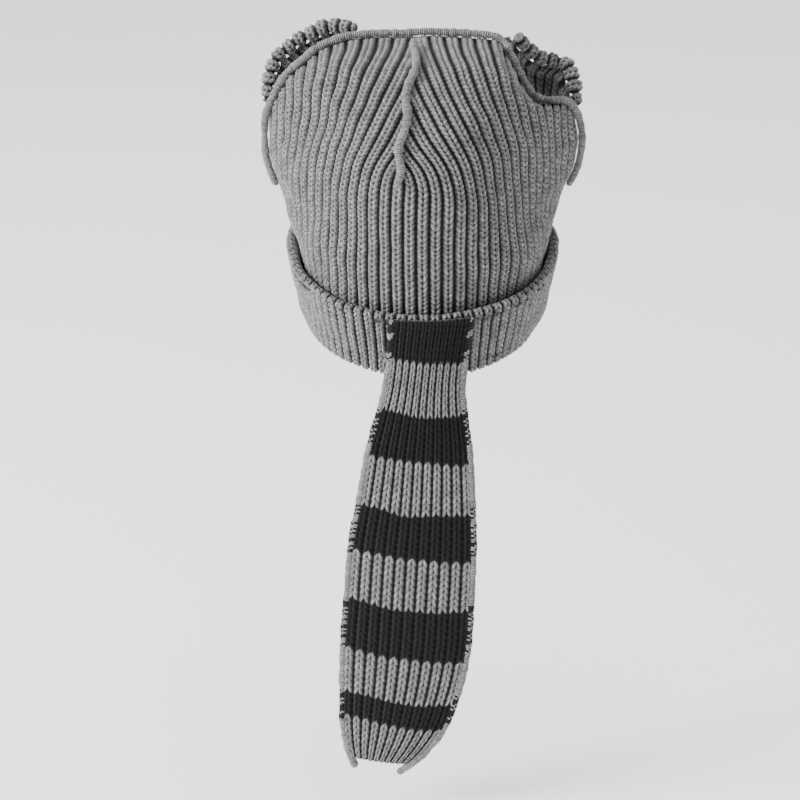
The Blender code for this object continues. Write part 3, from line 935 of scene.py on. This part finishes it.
def make_tail(finish):
    """The striped strip as a closed wall, with stitches on both faces."""
    end = TAIL_EDGES[-1].down - TAIL_END_INSET / TAIL_LENGTH
    downs = np.linspace(0.0, end, int(end * TAIL_LENGTH / TAIL_ROW_STEP))
    left, left_along = tail_edge(-1, TAIL_INSET, downs)
    right, right_along = tail_edge(1, TAIL_INSET, downs)
    rib = np.linspace(0.0, TAIL_RIBS, TAIL_RIBS * COLUMNS_PER_NARROW_RIB + 1)
    across = rib / TAIL_RIBS
    x = left[:, None] + (right - left)[:, None] * across
    along = left_along[:, None] + (right_along - left_along)[:, None] * across
    middle = tail_place(x, along)
    course = (along - TAIL_TILT * (x - x.mean(axis=1, keepdims=True))) / TAIL_STITCH
    course = course + TAIL_COURSE_WANDER * wander(middle, COURSE_LUMP, seed=23)
    height = (stitches(rib[None, :] + 0.5, course) - KNIT_MIDDLE) * TAIL_RELIEF
    toward = facing(middle, np.broadcast_to([0.0, -1.0, 0.0], middle.shape))
    half = TAIL_THICKNESS / 2 - TAIL_RELIEF / 4
    face = middle + toward * (half + height)[..., None]
    back = middle - toward * (half + height[:, ::-1])[..., None]
    points = np.concatenate([face, back[:, ::-1], face[:, :1]], axis=1)
    ribs = np.broadcast_to(rib + 0.5, course.shape)
    knit_face = np.stack([ribs, course], axis=-1)
    knit = np.concatenate([knit_face, knit_face[:, ::-1], knit_face[:, :1]], axis=1)
    index = np.arange(points.shape[0] * points.shape[1]).reshape(points.shape[:2])
    columns = len(rib)
    top = np.stack([index[0, :columns], index[0, columns:2 * columns][::-1]])
    bottom = np.stack([index[-1, :columns], index[-1, columns:2 * columns][::-1]])
    faces = [quads(index), quads(top), quads(bottom, flip=True)]
    return object_from("striped_tail", points.reshape(-1, 3), knit.reshape(-1, 2), faces, finish)


# Seams and bindings

def evenly(path, step):
    """The path's points spaced evenly, about a step apart."""
    lengths = np.linalg.norm(np.diff(path, axis=0), axis=1)
    covered = np.concatenate([[0.0], np.cumsum(lengths)])
    count = max(int(round(covered[-1] / step)), 2)
    at = np.linspace(0.0, covered[-1], count + 1)
    return np.stack([np.interp(at, covered, path[:, i]) for i in range(3)], axis=-1)


def beside(path, distance):
    """The path moved away from the hat's core, square to its own direction."""
    along = np.gradient(path, axis=0)
    along /= np.linalg.norm(along, axis=1, keepdims=True)
    away = outward(path)
    away -= along * np.sum(away * along, axis=1, keepdims=True)
    return path + away / np.linalg.norm(away, axis=1, keepdims=True) * distance


def smoothed(path, rounds):
    """The path with each point drawn towards its neighbours, a number of times."""
    for _ in range(rounds):
        path = path.copy()
        path[1:-1] = path[1:-1] * 0.5 + (path[:-2] + path[2:]) * 0.25
    return path


def tube_points(path, reach, around):
    """Round sections square to the path, starting on the side away from the hat's core. Each
    reach is a section's radius, at a share of a turn around it."""
    along = np.gradient(path, axis=0)
    along /= np.linalg.norm(along, axis=1, keepdims=True)
    away = outward(path)
    away -= along * np.sum(away * along, axis=1, keepdims=True)
    away /= np.linalg.norm(away, axis=1, keepdims=True)
    aside = np.cross(along, away)
    angle = 2 * np.pi * around
    points = (
        path[:, None]
        + away[:, None] * (reach * np.cos(angle))[..., None]
        + aside[:, None] * (reach * np.sin(angle))[..., None]
    )
    points[:, -1] = points[:, 0]
    return points


def covered_by(path):
    """The length covered up to each point of an evenly spaced path."""
    length = np.linalg.norm(np.diff(path, axis=0), axis=1).sum()
    return np.linspace(0.0, length, len(path))


def round_ends(covered, radius):
    """1 along a tube, falling to 0 at both ends as a half-round cap does."""
    from_end = np.minimum(covered, covered[-1] - covered) / radius
    return np.sqrt(np.clip(1 - (1 - np.minimum(from_end, 1.0)) ** 2, 0.0, 1.0))[:, None]


def thread_tube(name, path, radius, finish):
    """A seam's tube: a round section carried along the path, ridged by one turn of thread for
    each pitch, slanted by one pitch round it, with rounded ends."""
    path = evenly(path, THREAD_PITCH / STEPS_PER_THREAD)
    covered = covered_by(path)
    around = np.linspace(0.0, 1.0, THREAD_SIDES + 1)[None, :]
    turn = covered[:, None] / THREAD_PITCH
    ridge = THREAD_DEPTH / 2 * (np.cos(2 * np.pi * (turn + around)) - 1)
    uneven = THREAD_UNEVEN * wander(path, THREAD_LUMP, seed=31)[:, None]
    reach = radius * (1 + ridge + uneven) * round_ends(covered, radius)
    knit = np.stack(np.broadcast_arrays(around, turn), axis=-1)
    return ring_object(name, tube_points(path, reach, around), knit, finish)


def top_seam_path():
    rises = np.linspace(EAR_FOOT, 1.0, PATH_SAMPLES)[:-1]
    angles = np.linspace(0.0, np.pi, SEAM_SAMPLES)
    left = panel(False, 0.0, rises)
    top = panel(False, angles, 1.0)
    right = panel(False, np.pi, rises)[::-1]
    path = settle(evenly(np.concatenate([left, top, right]), SEAM_STEP))
    return beside(smoothed(path, rounds=3), SEAM_RADIUS + GAP)


def back_seam_path():
    rises = np.linspace(DART_FOOT, DART_TOP, PATH_SAMPLES)
    places = through(column(DART, "rise"), column(DART, "place"), rises)
    angles = [angle_at(False, place, rise) for place, rise in zip(places, rises)]
    path = panel(False, np.array(angles), rises)
    path[:, 0] += np.sin(np.linspace(0.0, 2 * np.pi * DART_WAVES, len(rises))) * DART_WAVE
    return beside(settle(evenly(path, SEAM_STEP)), SEAM_RADIUS + GAP)


def ear_rim_path(table, sign):
    knots = column(table, "across")
    across = np.linspace(knots[0] + RIM_INSET, knots[-1] - RIM_CORNER_INSET, PATH_SAMPLES)
    path = settle(evenly(panel(True, np.arccos(-across * sign), 1.0), SEAM_STEP))
    return beside(path, EAR_RIM_RADIUS + GAP)


def tail_edge_path(side):
    downs = np.linspace(0.0, TAIL_EDGES[-1].down, EDGE_SAMPLES)
    x, along = tail_edge(side, TAIL_EDGE_RADIUS, downs)
    return tail_place(x, along)


def make_ear_rim(name, path, finish):
    """The front panel's edge rolled over: ribs run round the roll, a stitch for each course."""
    path = evenly(path, RIM_STEP)
    covered = covered_by(path)
    rib = covered[:, None] / (np.pi * CROWN_WIDTH / RIBS)
    around = np.linspace(0.0, 1.0, RIM_SIDES + 1)[None, :]
    course = around * 2 * np.pi * EAR_RIM_RADIUS / STITCH
    height = (stitches(rib, course) - KNIT_MIDDLE) * KNIT_RELIEF
    middle = np.sin(np.pi * covered / covered[-1]) ** 0.5
    swell = (RIM_THIN + (1 - RIM_THIN) * middle)[:, None]
    ruffle = RUFFLE_HEIGHT * wander(path, RUFFLE_SIZE, seed=41)[:, None]
    reach = EAR_RIM_RADIUS * swell + height * RIM_RELIEF_SHARE + ruffle
    reach = reach * round_ends(covered, EAR_RIM_RADIUS)
    knit = np.stack(np.broadcast_arrays(rib, course), axis=-1)
    return ring_object(name, tube_points(path, reach, around), knit, finish)


# Camera, light and floor

def set_camera():
    lens = bpy.data.cameras.new("camera")
    lens.lens = CAMERA_LENS
    camera = bpy.data.objects.new("camera", lens)
    camera.location = CAMERA_PLACE
    camera.rotation_euler = (CAMERA_TILT, 0.0, 0.0)
    bpy.context.scene.collection.objects.link(camera)
    bpy.context.scene.camera = camera


def add_lamp(row):
    lamp = bpy.data.lights.new(row.name, "AREA")
    lamp.size = row.size
    lamp.energy = row.power
    made = bpy.data.objects.new(row.name, lamp)
    made.location = row.place
    toward = Vector(row.aim) - Vector(row.place)
    made.rotation_euler = toward.to_track_quat("-Z", "Y").to_euler()
    bpy.context.scene.collection.objects.link(made)


def light_the_scene():
    world = bpy.data.worlds.new("studio")
    bpy.context.scene.world = world
    world.use_nodes = True
    background = world.node_tree.nodes["Background"]
    background.inputs["Color"].default_value = SKY_COLOUR
    background.inputs["Strength"].default_value = SKY_STRENGTH
    for row in LAMPS:
        add_lamp(row)


def make_floor():
    finish = Finish("pale_floor", Roughness=0.9)
    finish.feed(finish.shader.inputs["Base Color"], FLOOR_COLOUR)
    finish.shader.inputs["Emission Color"].default_value = FLOOR_GLOW
    finish.shader.inputs["Emission Strength"].default_value = FLOOR_GLOW_STRENGTH
    corners = np.array([[-1, -1], [1, -1], [1, 1], [-1, 1]]) * FLOOR_REACH
    points = np.column_stack([corners, np.full(4, FLOOR_HEIGHT)])
    data = bpy.data.meshes.new("floor")
    data.from_pydata(points.tolist(), [], [(0, 1, 2, 3)])
    data.materials.append(finish.material)
    floor = bpy.data.objects.new("floor", data)
    bpy.context.scene.collection.objects.link(floor)


set_camera()
light_the_scene()
make_floor()

CROWN_KNIT = knit_finish("heather_rib_knit", CROWN_PITCH, STITCH)
CUFF_KNIT = knit_finish("cuff_rib_knit", CUFF_PITCH, STITCH)
TAIL_KNIT = knit_finish("striped_rib_knit", TAIL_PITCH, TAIL_STITCH, stripe_stops())
SEAM_THREAD = thread_finish("overlock_thread")
BINDING_THREAD = thread_finish("binding_thread", stripe_stops())

dress(make_crown_panel("crown_back", False, CROWN_KNIT), "heather_rib", "crown")
dress(make_crown_panel("crown_front", True, CROWN_KNIT), "heather_rib", "crown")
dress(make_cuff(CUFF_KNIT), "heather_rib_cuff", "cuff")
seam = thread_tube("top_overlock", top_seam_path(), SEAM_RADIUS, SEAM_THREAD)
dress(seam, "overlock_thread", "top_seam")
seam = thread_tube("dart_overlock", back_seam_path(), SEAM_RADIUS, SEAM_THREAD)
dress(seam, "overlock_thread", "back_seam")
for side_name, table, sign in (("left", LEFT_MOUTH, -1), ("right", RIGHT_MOUTH, 1)):
    rim = make_ear_rim(f"rolled_ear_edge_{side_name}", ear_rim_path(table, sign), CROWN_KNIT)
    dress(rim, "heather_rib", f"ear_rim_{side_name}")

tail = dress(make_tail(TAIL_KNIT), "striped_knit", "tail")
for side_name, sign in (("left", -1), ("right", 1)):
    name = f"tail_binding_{side_name}"
    edge = thread_tube(name, tail_edge_path(sign), TAIL_EDGE_RADIUS, BINDING_THREAD)
    dress(edge, "overlock_thread", f"tail_edge_{side_name}")
